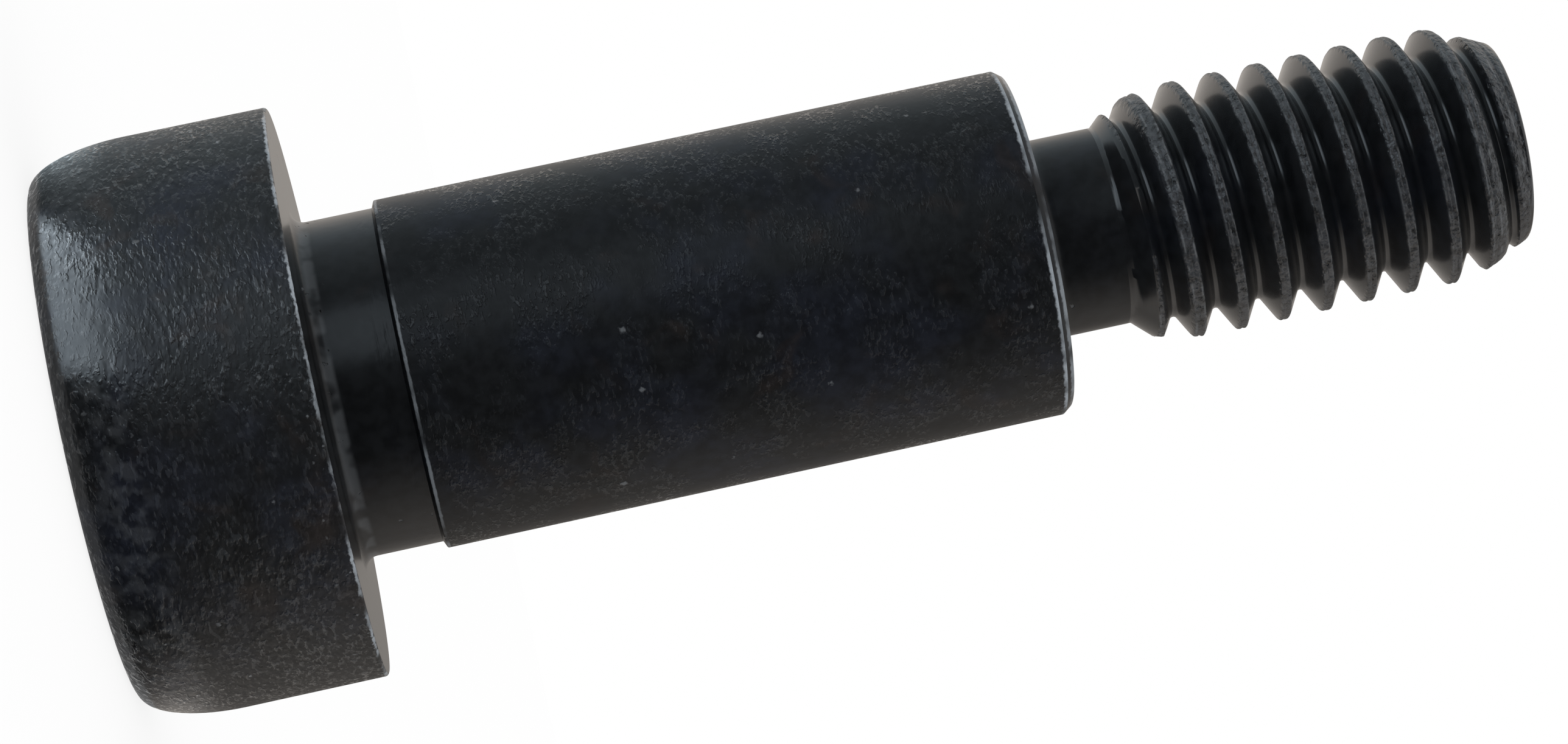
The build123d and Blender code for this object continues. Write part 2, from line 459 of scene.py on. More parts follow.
class SHOULDERBOLT_OT_rolled_thread(bpy.types.Operator):
    """Winds one pitch of the ridge's profile up the helix and trims it to the blank's outline"""

    bl_idname = "shoulder_bolt.rolled_thread"
    bl_label = "Rolled thread"

    def execute(self, context):
        s = body_sizes()
        t = thread_sizes()
        steps = thread_steps(t)
        low = shoulder_end() + t.phase
        low -= math.ceil((low - thread_start()) / t.pitch + 1.5) * t.pitch
        turns = math.ceil((NODE_HIGH.z - low) / t.pitch + 1.5)

        # One pitch of the profile, drawn upwards on the +X side from groove to groove
        deselect_all()
        bpy.ops.mesh.primitive_plane_add(size=t.pitch / 10, location=(0, 0, 0))
        thread = bpy.context.object
        thread.name = "rolled_thread"
        bpy.ops.object.mode_set(mode="EDIT")
        bpy.ops.mesh.merge(type="CENTER")
        place = Vector((float(ridge_radius(steps[0], t)), 0, low + steps[0]))
        bpy.ops.transform.translate(value=place)
        for from_crest in steps[1:]:
            there = Vector((float(ridge_radius(from_crest, t)), 0, low + from_crest))
            bpy.ops.mesh.extrude_region_move(TRANSFORM_OT_translate={"value": there - place})
            place = there
        bpy.ops.object.mode_set(mode="OBJECT")

        winding = thread.modifiers.new("winding", "SCREW")
        winding.axis = "Z"
        winding.angle = math.tau
        winding.screw_offset = t.pitch
        winding.iterations = turns
        winding.steps = COLUMNS
        winding.render_steps = COLUMNS
        winding.use_merge_vertices = True
        winding.merge_threshold = WELD
        bpy.ops.object.modifier_apply(modifier=winding.name)
        self.trim(thread, s, t)
        weld(thread)

        tip = self.close_tip(t)
        body = bpy.data.objects["turned_body"]
        self.open_neck(body)
        make_active(body)
        thread.select_set(True)
        tip.select_set(True)
        bpy.ops.object.join()
        weld(body)
        return {"FINISHED"}

    def trim(self, thread, s, t):
        """Holds the ridge to the blank's outline and its two ends to level rings."""
        mesh = thread.data
        places = np.empty(len(mesh.vertices) * 3)
        mesh.vertices.foreach_get("co", places)
        places = places.reshape(-1, 3)
        radius = np.hypot(places[:, 0], places[:, 1])
        outward = places[:, :2] / radius[:, None]
        z = places[:, 2]
        edge_radius, edge_height, _ = tip_edge(t)
        z = np.clip(z, thread_start(), edge_height)
        limit = crest_limit(z, s, t)
        wound = radius
        radius = soft_least(wound, limit, t.crest_round)
        radius = np.minimum(np.maximum(radius, core_radius(z, s, t)), np.maximum(limit, s.neck_radius))
        radius = np.where(z <= thread_start() + WELD, s.neck_radius, radius)
        radius = np.where(z >= edge_height - WELD, edge_radius, radius)
        crest = self.crest_share(radius, wound, z, limit, s, t)
        radius = radius - crest * self.crest_damage(outward, z, t)
        places[:, :2] = outward * radius[:, None]
        places[:, 2] = z
        mesh.vertices.foreach_set("co", places.reshape(-1))
        layer = mesh.attributes.new(CREST_WEAR, "FLOAT", "POINT")
        layer.data.foreach_set("value", crest.astype(np.float32))
        mesh.update()

    def crest_share(self, radius, wound, z, limit, s, t):
        """How far each point belongs to the crests: 1 on them, 0 down the flanks."""
        top = np.minimum(limit, t.crest_radius)
        near_top = np.clip(1 - (top - radius) / CREST_DEPTH, 0, 1)
        above_core = np.clip((radius - core_radius(z, s, t)) / (CREST_DEPTH / 2), 0, 1)
        lip = np.exp(-(((limit - wound) / (CREST_DEPTH / 2)) ** 2))
        on_rise = z < shoulder_end() + s.neck_length + t.runout_rise_length
        return np.where(on_rise, lip, near_top) * above_core

    def crest_damage(self, outward, z, t):
        """How deep the crests are dented, with the seam that rolling leaves along them."""
        turn = np.arctan2(outward[:, 1], outward[:, 0]) / math.tau
        turns_up = (z - shoulder_end() - t.phase) / t.pitch - turn
        from_crest = (turns_up - np.round(turns_up)) * t.pitch
        dents = np.empty(len(z))
        wander = np.empty(len(z))
        for index, (x, y) in enumerate(outward):
            place = Vector((x * t.crest_radius, y * t.crest_radius, z[index])) * 1000
            dents[index] = noise.noise(place * 1.9) + 0.6 * noise.noise(place * 4.3)
            wander[index] = noise.noise(place * 0.9 + Vector((7, 3, 1)))
        seam = np.exp(-(((from_crest - SEAM_WANDER * wander) / SEAM_WIDTH) ** 2))
        return DENT_DEPTH * np.clip(0.5 + 0.6 * dents, 0, 1.2) + SEAM_DEPTH * seam * (1 + wander)

    def close_tip(self, t):
        """The rounded edge and flat face at the thread's end."""
        edge_radius, edge_height, lean = tip_edge(t)
        centre = (
            edge_radius - t.tip_round * math.cos(lean),
            edge_height - t.tip_round * math.sin(lean),
        )
        outline = arc(centre, t.tip_round, math.degrees(lean), 90, 4)
        outline.append((centre[0] - FLAT_MARGIN, NODE_HIGH.z))
        tip = lathe("thread_end", outline)
        bpy.ops.object.mode_set(mode="EDIT")
        bpy.ops.mesh.edge_face_add()
        bpy.ops.object.mode_set(mode="OBJECT")
        return tip

    def open_neck(self, body):
        """Takes away the lid that closed the neck while the socket was cut."""
        select_ring(body, thread_start())
        bpy.ops.mesh.select_mode(type="FACE")
        bpy.ops.object.mode_set(mode="OBJECT")
        for face in body.data.polygons:
            face.select = face.center.z > thread_start() - WELD and abs(face.normal.z) > 0.9
        bpy.ops.object.mode_set(mode="EDIT")
        bpy.ops.mesh.delete(type="ONLY_FACE")
        bpy.ops.object.mode_set(mode="OBJECT")


def add_node(tree, kind, inputs=None, **settings):
    """A node with its settings, and its sockets set to values or joined to other sockets."""
    node = tree.nodes.new(kind)
    for name, value in settings.items():
        setattr(node, name, value)
    for name, value in (inputs or {}).items():
        if isinstance(value, bpy.types.NodeSocket):
            tree.links.new(value, node.inputs[name])
        else:
            node.inputs[name].default_value = value
    return node


def maths(tree, operation, *values):
    node = add_node(tree, "ShaderNodeMath", dict(enumerate(values)), operation=operation)
    return node.outputs[0]


def scaled(tree, vector, factor):
    node = add_node(
        tree, "ShaderNodeVectorMath", {0: vector, "Scale": factor}, operation="SCALE"
    )
    return node.outputs[0]


def noise_node(tree, place, scale, detail=2.0, **inputs):
    inputs.update({"Vector": place, "Scale": scale, "Detail": detail})
    return add_node(tree, "ShaderNodeTexNoise", inputs).outputs


def remap(tree, value, low, high, to_low=0.0, to_high=1.0):
    """A value mapped smoothly and held to its new range."""
    node = add_node(
        tree, "ShaderNodeMapRange",
        {"Value": value, "From Min": low, "From Max": high, "To Min": to_low, "To Max": to_high},
        interpolation_type="SMOOTHSTEP",
    )
    return node.outputs["Result"]


def mix_colours(tree, share, below, above):
    node = tree.nodes.new("ShaderNodeMix")
    node.data_type = "RGBA"
    for index, value in ((0, share), (6, below), (7, above)):
        if isinstance(value, bpy.types.NodeSocket):
            tree.links.new(value, node.inputs[index])
        else:
            node.inputs[index].default_value = value
    return node.outputs[2]


def new_group(name, inputs, outputs):
    """An empty node group with named sockets, and the sockets of its two ends."""
    tree = bpy.data.node_groups.new(name, "ShaderNodeTree")
    for label, kind, default in inputs:
        socket = tree.interface.new_socket(label, in_out="INPUT", socket_type=kind)
        socket.default_value = default
    for label, kind in outputs:
        tree.interface.new_socket(label, in_out="OUTPUT", socket_type=kind)
    return tree, tree.nodes.new("NodeGroupInput").outputs, tree.nodes.new("NodeGroupOutput").inputs


def use_group(tree, name, inputs=None):
    return add_node(tree, "ShaderNodeGroup", inputs, node_tree=bpy.data.node_groups[name])


FLOAT = "NodeSocketFloat"
VECTOR = "NodeSocketVector"
COLOUR = "NodeSocketColor"


def build_places_group():
    """Places on the bolt in millimetres: point, radius, height and distance from the crest."""
    tree, _, ends = new_group(
        "bolt_places", [],
        [("Place", VECTOR), ("Radius", FLOAT), ("Height", FLOAT), ("From Crest", FLOAT)],
    )
    t = thread_sizes()
    object_place = tree.nodes.new("ShaderNodeTexCoord").outputs["Object"]
    place = scaled(tree, object_place, 1000.0)
    axes = add_node(tree, "ShaderNodeSeparateXYZ", {0: place}).outputs
    flat = add_node(tree, "ShaderNodeCombineXYZ", {"X": axes["X"], "Y": axes["Y"]}).outputs[0]
    radius = add_node(tree, "ShaderNodeVectorMath", {0: flat}, operation="LENGTH").outputs["Value"]
    turn = maths(tree, "DIVIDE", maths(tree, "ARCTAN2", axes["Y"], axes["X"]), math.tau)
    first_crest = (shoulder_end() + t.phase) * 1000
    turns_up = maths(tree, "DIVIDE", maths(tree, "SUBTRACT", axes["Z"], first_crest), t.pitch * 1000)
    shifted = maths(tree, "ADD", maths(tree, "SUBTRACT", turns_up, turn), 0.5)
    share = maths(tree, "SUBTRACT", maths(tree, "FRACT", shifted), 0.5)
    tree.links.new(place, ends["Place"])
    tree.links.new(radius, ends["Radius"])
    tree.links.new(axes["Z"], ends["Height"])
    tree.links.new(maths(tree, "MULTIPLY", share, t.pitch * 1000), ends["From Crest"])


def build_grain_group():
    """Fine relief: stretched noise, its depth in millimetres, and strokes at its high spots."""
    tree, given, ends = new_group(
        "surface_grain",
        [("Place", VECTOR, (0, 0, 0)), ("Stretch", VECTOR, (1, 1, 1)), ("Scale", FLOAT, 5.0),
         ("Detail", FLOAT, 2.0), ("Depth", FLOAT, 0.005)],
        [("Height", FLOAT), ("Stroke", FLOAT)],
    )
    place = add_node(
        tree, "ShaderNodeVectorMath", {0: given["Place"], 1: given["Stretch"]}, operation="MULTIPLY"
    ).outputs[0]
    wave = noise_node(tree, place, given["Scale"], given["Detail"], Roughness=0.55)["Fac"]
    centred = maths(tree, "SUBTRACT", wave, 0.5)
    tree.links.new(maths(tree, "MULTIPLY", centred, given["Depth"]), ends["Height"])
    tree.links.new(remap(tree, wave, 0.52, 0.66), ends["Stroke"])


def build_specks_group():
    """Scattered specks or pits: a share of random cells, each with a ragged spot in it."""
    tree, given, ends = new_group(
        "specks",
        [("Place", VECTOR, (0, 0, 0)), ("Scale", FLOAT, 2.0), ("Share", FLOAT, 0.2),
         ("Size", FLOAT, 0.2)],
        [("Mask", FLOAT)],
    )
    ragged = noise_node(tree, given["Place"], 9.0)["Color"]
    offset = add_node(
        tree, "ShaderNodeVectorMath", {0: ragged, 1: (-0.5, -0.5, -0.5)}, operation="ADD"
    ).outputs[0]
    shift = scaled(tree, offset, 0.16)
    place = add_node(
        tree, "ShaderNodeVectorMath", {0: given["Place"], 1: shift}, operation="ADD"
    ).outputs[0]
    cells = add_node(tree, "ShaderNodeTexVoronoi", {"Vector": place, "Scale": given["Scale"]})
    chance = add_node(tree, "ShaderNodeSeparateColor", {0: cells.outputs["Color"]}).outputs[0]
    chosen = maths(tree, "LESS_THAN", chance, given["Share"])
    inner = maths(tree, "MULTIPLY", given["Size"], 0.35)
    spot = remap(tree, cells.outputs["Distance"], given["Size"], inner)
    tree.links.new(maths(tree, "MULTIPLY", chosen, spot), ends["Mask"])


def build_edge_group():
    """A bright line round one turned edge, partly wear and partly a painted highlight, broken up along
    its way.
    """
    tree, given, ends = new_group(
        "worn_edge",
        [("Place", VECTOR, (0, 0, 0)), ("Radius", FLOAT, 0.0), ("Height", FLOAT, 0.0),
         ("Edge Radius", FLOAT, 1.0), ("Edge Height", FLOAT, 1.0), ("Width", FLOAT, 0.05),
         ("Raggedness", FLOAT, 0.05)],
        [("Mask", FLOAT)],
    )
    out = maths(tree, "SUBTRACT", given["Radius"], given["Edge Radius"])
    along = maths(tree, "SUBTRACT", given["Height"], given["Edge Height"])
    away = maths(
        tree, "SQRT",
        maths(tree, "ADD", maths(tree, "MULTIPLY", out, out), maths(tree, "MULTIPLY", along, along)),
    )
    fine = noise_node(tree, given["Place"], 7.0, 3.0)["Fac"]
    wobble = maths(tree, "MULTIPLY", maths(tree, "SUBTRACT", fine, 0.5), given["Raggedness"])
    near = remap(
        tree, maths(tree, "ADD", away, wobble), given["Width"],
        maths(tree, "MULTIPLY", given["Width"], 0.4),
    )
    patches = noise_node(tree, given["Place"], 0.9)["Fac"]
    tree.links.new(maths(tree, "MULTIPLY", near, remap(tree, patches, 0.34, 0.62)), ends["Mask"])


def build_oxide_group():
    """The oxide's colour: near black, with blue and brown patches and fine mottling."""
    black = (0.0056, 0.0064, 0.0074, 1)
    tree, given, ends = new_group(
        "oxide_colour",
        [("Place", VECTOR, (0, 0, 0)), ("Black", COLOUR, black), ("Blue", COLOUR, black),
         ("Brown", COLOUR, black), ("Blue Share", FLOAT, 1.0), ("Brown Share", FLOAT, 1.0)],
        [("Colour", COLOUR)],
    )
    blue_noise = noise_node(tree, given["Place"], 0.42, 3.0)["Fac"]
    brown_noise = noise_node(tree, given["Place"], 0.75, 4.0, Distortion=0.6)["Fac"]
    fine = noise_node(tree, given["Place"], 3.5, 4.0)["Fac"]
    blue = maths(tree, "MULTIPLY", remap(tree, blue_noise, 0.44, 0.66), given["Blue Share"])
    brown = maths(tree, "MULTIPLY", remap(tree, brown_noise, 0.56, 0.72), given["Brown Share"])
    tinted = mix_colours(tree, blue, given["Black"], given["Blue"])
    tinted = mix_colours(tree, brown, tinted, given["Brown"])
    shade = remap(tree, fine, 0.3, 0.7, 0.75, 1.3)
    tree.links.new(scaled(tree, tinted, shade), ends["Colour"])


class OxideFinish:
    """One zone's material: black oxide, and the layers of grain, specks, wear and painted highlights
    on it.
    """

    def __init__(self, name, roughness, specular, blue=1.0, brown=1.0):
        self.colours = bpy.context.scene.shoulder_bolt_finish
        self.material = bpy.data.materials.new(name)
        self.material.use_nodes = True
        self.tree = self.material.node_tree
        self.shader = self.tree.nodes["Principled BSDF"]
        self.shader.inputs["Specular IOR Level"].default_value = specular
        places = use_group(self.tree, "bolt_places").outputs
        self.place = places["Place"]
        self.radius = places["Radius"]
        self.height = places["Height"]
        self.from_crest = places["From Crest"]
        self.colour = use_group(self.tree, "oxide_colour", {
            "Place": self.place,
            "Black": (*self.colours.oxide_black, 1),
            "Blue": (*self.colours.oxide_blue, 1),
            "Brown": (*self.colours.oxide_brown, 1),
            "Blue Share": blue,
            "Brown Share": brown,
        }).outputs["Colour"]
        self.roughness = roughness
        self.relief = 0.0

    def both(self, first, second):
        return maths(self.tree, "MULTIPLY", first, second)

    def patches(self, scale, low, high, least=0.0):
        """A soft mask of patches, for layers that come and go over the surface."""
        wave = noise_node(self.tree, self.place, scale)["Fac"]
        return remap(self.tree, wave, low, high, least, 1.0)

    def between(self, value, low, high, soft):
        """A mask that is 1 between two values, with soft ends."""
        above = remap(self.tree, value, low - soft, low + soft)
        below = remap(self.tree, value, high + soft, high - soft)
        return self.both(above, below)

    def raise_by(self, height):
        self.relief = maths(self.tree, "ADD", self.relief, height)

    def smooth_by(self, mask, amount):
        self.roughness = maths(self.tree, "SUBTRACT", self.roughness, self.both(mask, amount))

    def tint(self, mask, strength, tint):
        share = self.both(mask, strength)
        self.colour = mix_colours(self.tree, share, self.colour, (*tint, 1))

    def grain(self, scale, depth, stretch=(1, 1, 1), detail=2.0, where=1.0):
        """Adds fine relief, its depth in millimetres."""
        height = use_group(self.tree, "surface_grain", {
            "Place": self.place, "Stretch": stretch, "Scale": scale, "Detail": detail,
            "Depth": depth,
        }).outputs["Height"]
        self.raise_by(self.both(height, where))

    def strokes(self, scale, depth, stretch, gloss, where=1.0, tint=0.0):
        """Adds short raised strokes that are smoother than the ground between them."""
        stroke = use_group(self.tree, "surface_grain", {
            "Place": self.place, "Stretch": stretch, "Scale": scale, "Detail": 1.5, "Depth": 0.0,
        }).outputs["Stroke"]
        stroke = self.both(stroke, where)
        self.raise_by(self.both(stroke, depth))
        self.smooth_by(stroke, gloss)
        if tint:
            self.tint(stroke, tint, self.colours.wear_and_reflection_grey)

    def specks(self, scale, share, size, strength=0.0, depth=0.0, where=1.0, gloss=0.0):
        """Scatters specks: worn pale by strength, and raised or sunk by depth."""
        mask = use_group(self.tree, "specks", {
            "Place": self.place, "Scale": scale, "Share": share, "Size": size,
        }).outputs["Mask"]
        mask = self.both(mask, where)
        self.raise_by(self.both(mask, depth))
        if strength:
            self.tint(mask, strength, self.colours.wear_and_reflection_grey)
        if gloss:
            self.smooth_by(mask, gloss)

    def worn_edge(self, radius, height, width, strength=0.8, raggedness=0.06):
        """Bares the metal along one turned edge in a bright line that is partly wear and partly a
        painted highlight; radius, height and width in millimetres.
        """
        mask = use_group(self.tree, "worn_edge", {
            "Place": self.place, "Radius": self.radius, "Height": self.height,
            "Edge Radius": radius, "Edge Height": height, "Width": width,
            "Raggedness": raggedness,
        }).outputs["Mask"]
        self.tint(mask, strength, self.colours.bare_steel_and_highlight)
        self.smooth_by(mask, 0.1)

    def close(self):
        """Joins the layers to the shader and returns the material."""
        bump = add_node(
            self.tree, "ShaderNodeBump",
            {"Strength": 1.0, "Distance": 0.001, "Height": self.relief},
        )
        joins = {
            "Base Color": self.colour, "Roughness": self.roughness,
            "Normal": bump.outputs["Normal"],
        }
        for name, value in joins.items():
            if isinstance(value, bpy.types.NodeSocket):
                self.tree.links.new(value, self.shader.inputs[name])
            else:
                self.shader.inputs[name].default_value = value
        return self.material


def forged_head():
    """The head's side, rim and end: worm-like grain, specks, and a bright bearing edge, partly wear
    and partly a painted highlight.
    """
    s = body_sizes()
    side = s.head_height * 1000
    look = OxideFinish("forged_head", 0.5, 0.28, blue=1.0, brown=0.8)
    look.grain(1.3, 0.03)
    ground = look.patches(0.6, 0.36, 0.56, 0.35)
    look.grain(3.6, 0.04, (1.0, 1.0, 1.9), 1.0, ground)
    look.strokes(4.4, 0.014, (1.0, 1.0, 2.1), 0.28, ground, 0.09)
    look.strokes(7.5, 0.006, (1.0, 1.0, 1.6), 0.2, look.patches(1.1, 0.38, 0.58, 0.2), 0.05)
    look.specks(3.0, 0.2, 0.2, 0.5, 0.008, look.patches(0.9, 0.42, 0.6), 0.2)
    look.specks(1.7, 0.16, 0.13, 0.7, 0.008, gloss=0.25)
    look.specks(4.0, 0.2, 0.22, 0.0, -0.012)
    near_edge = look.between(look.height, side - 0.5, side + 0.2, 0.25)
    look.specks(5.0, 0.4, 0.24, 0.55, 0.008, near_edge, 0.2)
    near_rim = look.between(look.height, 0.5, 1.6, 0.4)
    look.specks(4.2, 0.35, 0.22, 0.5, 0.008, look.both(near_rim, look.patches(0.7, 0.45, 0.62)), 0.2)
    look.tint(look.both(near_rim, look.patches(2.4, 0.42, 0.62)), 0.12, look.colours.wear_and_reflection_grey)
    look.smooth_by(near_rim, 0.15)
    # Bearing edge: a bright ragged line, partly wear and partly a painted highlight where the rounded
    # edge catches the light
    look.worn_edge(s.head_radius * 1000, side - 0.01, 0.075, 1.0, 0.16)
    return look.close()


def turned_groove():
    """The relief groove, bearing face, shoulder end and neck: smooth, with turned rings, a pale foot
    band that is partly a painted reflection, a painted highlight in the neck's fillet, and a bright
    shoulder end edge that is partly wear and partly a painted highlight.
    """
    s = body_sizes()
    look = OxideFinish("turned_groove", 0.28, 0.2, blue=0.4, brown=0.3)
    look.grain(2.2, 0.004)
    rings = look.patches(0.6, 0.4, 0.6, 0.2)
    near_step = look.between(look.height, (s.head_height + s.relief_width) * 1000 - 0.5, 7.3, 0.2)
    look.grain(2.0, 0.014, (0.12, 0.12, 4.0), 2.0, look.both(near_step, rings))
    look.grain(4.0, 0.012, (0.6, 0.6, 1.6), 2.0, look.both(near_step, look.patches(1.2, 0.42, 0.6)))
    look.specks(2.6, 0.12, 0.16, 0.35, -0.012)
    # A paler grey band at the groove's foot, with pits sunk in it: partly a worn grey, partly a
    # painted reflection of the light its fillet catches
    foot = look.between(look.height, s.head_height * 1000 + 0.12, s.head_height * 1000 + 0.36, 0.06)
    pale_foot_wear_and_reflection = look.both(foot, look.patches(1.4, 0.4, 0.56, 0.1))
    look.tint(pale_foot_wear_and_reflection, 0.3, look.colours.wear_and_reflection_grey)
    look.specks(4.5, 0.45, 0.26, 0.0, -0.03, foot)
    end = (s.head_height + s.shoulder_length) * 1000
    # A painted highlight: a bright line in the neck's concave fillet where its reflection shows, not
    # wear
    look.worn_edge((s.neck_radius + s.neck_fillet) * 1000 - 0.1, end + 0.08, 0.12, 0.55, 0.14)
    # The shoulder's end edge: a bright line, partly wear and partly a painted highlight
    look.worn_edge(s.shoulder_radius * 1000 - 0.1, end - 0.02, 0.1, 0.6, 0.1)
    return look.close()


def ground_shoulder():
    """The shoulder: smooth, with clusters of short raised strokes, and bright ends that are partly
    wear and partly painted highlights.
    """
    s = body_sizes()
    look = OxideFinish("ground_shoulder", 0.4, 0.14, blue=0.8, brown=0.5)
    look.grain(1.4, 0.007)
    look.grain(8.0, 0.004, (0.5, 0.5, 1.0), 3.0)
    cluster = look.patches(0.55, 0.42, 0.58, 0.0)
    look.strokes(6.0, 0.012, (0.9, 0.9, 1.8), 0.25, cluster, 0.045)
    look.strokes(9.0, 0.006, (0.9, 0.9, 1.5), 0.2, look.patches(1.1, 0.45, 0.62), 0.03)
    look.specks(1.5, 0.14, 0.13, 0.5, 0.01, gloss=0.25)
    look.specks(3.5, 0.12, 0.18, 0.0, -0.014, cluster)
    end = (s.head_height + s.shoulder_length - s.end_edge_length) * 1000
    start = (s.head_height + s.relief_width + s.relief_step) * 1000
    # End edge: a bright line, partly wear and partly a painted highlight
    look.worn_edge(s.shoulder_radius * 1000, end + 0.02, 0.1, 0.9, 0.12)
    # Start edge beside the relief step: a painted highlight along its rounding, with some wear
    look.worn_edge(s.shoulder_radius * 1000, start + 0.03, 0.05, 0.4, 0.05)
    return look.close()


def rolled_thread_finish():
    """The thread: burnished black flanks and roots, and rough, greyed crests."""
    t = thread_sizes()
    look = OxideFinish("rolled_thread", 0.2, 0.5, blue=0.3, brown=0.2)
    crest = look.tree.nodes.new("ShaderNodeAttribute")
    crest.attribute_name = CREST_WEAR
    crest = crest.outputs["Fac"]
    look.grain(2.5, 0.0015, (0.3, 0.3, 3.0), 2.0)
    rough = look.both(crest, look.patches(5.5, 0.36, 0.58, 0.12))
    look.tint(rough, 0.85, look.colours.crest_grey)
    aside = maths(look.tree, "ABSOLUTE", look.from_crest)
    lips = look.both(look.between(aside, 0.085, 0.125, 0.02), look.patches(3.0, 0.42, 0.6))
    look.tint(look.both(lips, crest), 0.45, look.colours.wear_and_reflection_grey)
    look.grain(6.5, 0.1, (0.8, 0.8, 1.0), 2.0, crest)
    look.specks(6.0, 0.5, 0.34, 0.0, -0.05, crest)
    look.smooth_by(crest, -0.22)
    return look.close()


def broached_socket():
    """The hexagon socket: matt oxide with broaching lines along its depth."""
    look = OxideFinish("broached_socket", 0.5, 0.2, blue=0.4, brown=0.6)
    look.grain(6.0, 0.006, (1.0, 1.0, 0.12), 2.0)
    look.specks(4.0, 0.1, 0.2, 0.25)
    return look.close()


class SHOULDERBOLT_OT_finishes(bpy.types.Operator):
    """Builds the shared node groups and gives each zone of the bolt its finish"""

    bl_idname = "shoulder_bolt.finishes"
    bl_label = "Finishes"

    def execute(self, context):
        build_places_group()
        build_grain_group()
        build_specks_group()
        build_edge_group()
        build_oxide_group()
        bolt = bpy.data.objects["turned_body"]
        bolt.data.materials.clear()
        finishes = (forged_head, turned_groove, ground_shoulder, rolled_thread_finish, broached_socket)
        for finish in finishes:
            bolt.data.materials.append(finish())
        for face in bolt.data.polygons:
            face.material_index = self.zone(face, body_sizes())
        return {"FINISHED"}

    def zone(self, face, s):
        """The number of the finish that a face gets, by its height and radius."""
        z = face.center.z
        radius = math.hypot(face.center.x, face.center.y)
        if radius < s.socket_mouth_radius + WELD and z > WELD and z < s.head_height:
            return 4
        if z < s.head_height - WELD:
            return 0
        if z > thread_start():
            return 3
        in_shoulder = radius > s.shoulder_radius - s.edge_round - WELD
        if z > s.head_height + s.relief_width and z < shoulder_end() and in_shoulder:
            return 2
        return 1


class SHOULDERBOLT_OT_place_piece(bpy.types.Operator):
    """Names the finished mesh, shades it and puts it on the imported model's body"""

    bl_idname = "shoulder_bolt.place_piece"
    bl_label = "Place the piece"

    def execute(self, context):
        bolt = bpy.data.objects["turned_body"]
        bolt.name = "bolt_finish"
        bolt.data.name = "bolt_finish"
        make_active(bolt)
        bpy.ops.object.shade_smooth_by_angle(angle=SMOOTH_BELOW)
        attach(bolt, "root")
        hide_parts(NODE)
        return {"FINISHED"}


# Where the camera stands, fitted to the outline: its distance, height, turns, lens and shift
IMAGE_WIDTH = 2576
SENSOR_WIDTH = 36
CLIP_START = 0.002
CAMERA_DISTANCE = 0.10076
CAMERA_HEIGHT = 0.009578
CAMERA_FOCAL_PIXELS = 7322.31
CAMERA_PAN = -0.10372
CAMERA_TILT = -0.001204
CAMERA_ROLL = 0.210839
CAMERA_SHIFT_X = -0.122456
CAMERA_SHIFT_Y = -0.008914

# The lamp, the card that only gloss sees, and how much of the floor's white is its own glow.
# Angles are in degrees round the bolt from the camera, with the picture's upper side below 0.
LAMP_DISTANCE = 0.15
LAMP_ANGLE = -35
LAMP_WIDTH = 0.095
LAMP_HEIGHT = 0.032
LAMP_WATTS = 0.019
CARD_START = 0.0062
CARD_RADIUS = 0.2
CARD_HEIGHT = 0.25
CARD_LIFT = 0.0002
CARD_TONES = (
    (-179, "warm_side", 0.75),
    (-150, "warm_side", 0.95),
    (-125, "cool_side", 0.95),
    (-88, "cool_side", 0.72),
    (-70, "cool_side", 0.4),
    (-56, "cool_side", 0.18),
    (-10, "dark_side", 1.0),
    (48, "dark_side", 1.0),
    (62, "warm_side", 0.3),
    (74, "warm_side", 0.62),
    (92, "warm_side", 0.85),
    (112, "warm_side", 0.78),
    (135, "warm_side", 0.35),
    (160, "warm_side", 0.35),
)
CARD_END_TONE = 0.6
FLOOR_GLOW = 0.85
FLOOR_GAP = 0.00002
FLOOR_SIZE = 2

# A painted pool of lamp light that glows on the card's floor below the lamp, which the lamp itself
# does not cast: its half angles, its strength away from the head and near it, and between which
# distances from the axis the two change over
PATCH_FULL = 16
PATCH_END = 23
PAINTED_POOL_ON_FLOOR = 1.8
PAINTED_POOL_NEAR_HEAD = 6.5
NEAR_FULL = 0.0075
NEAR_END = 0.011


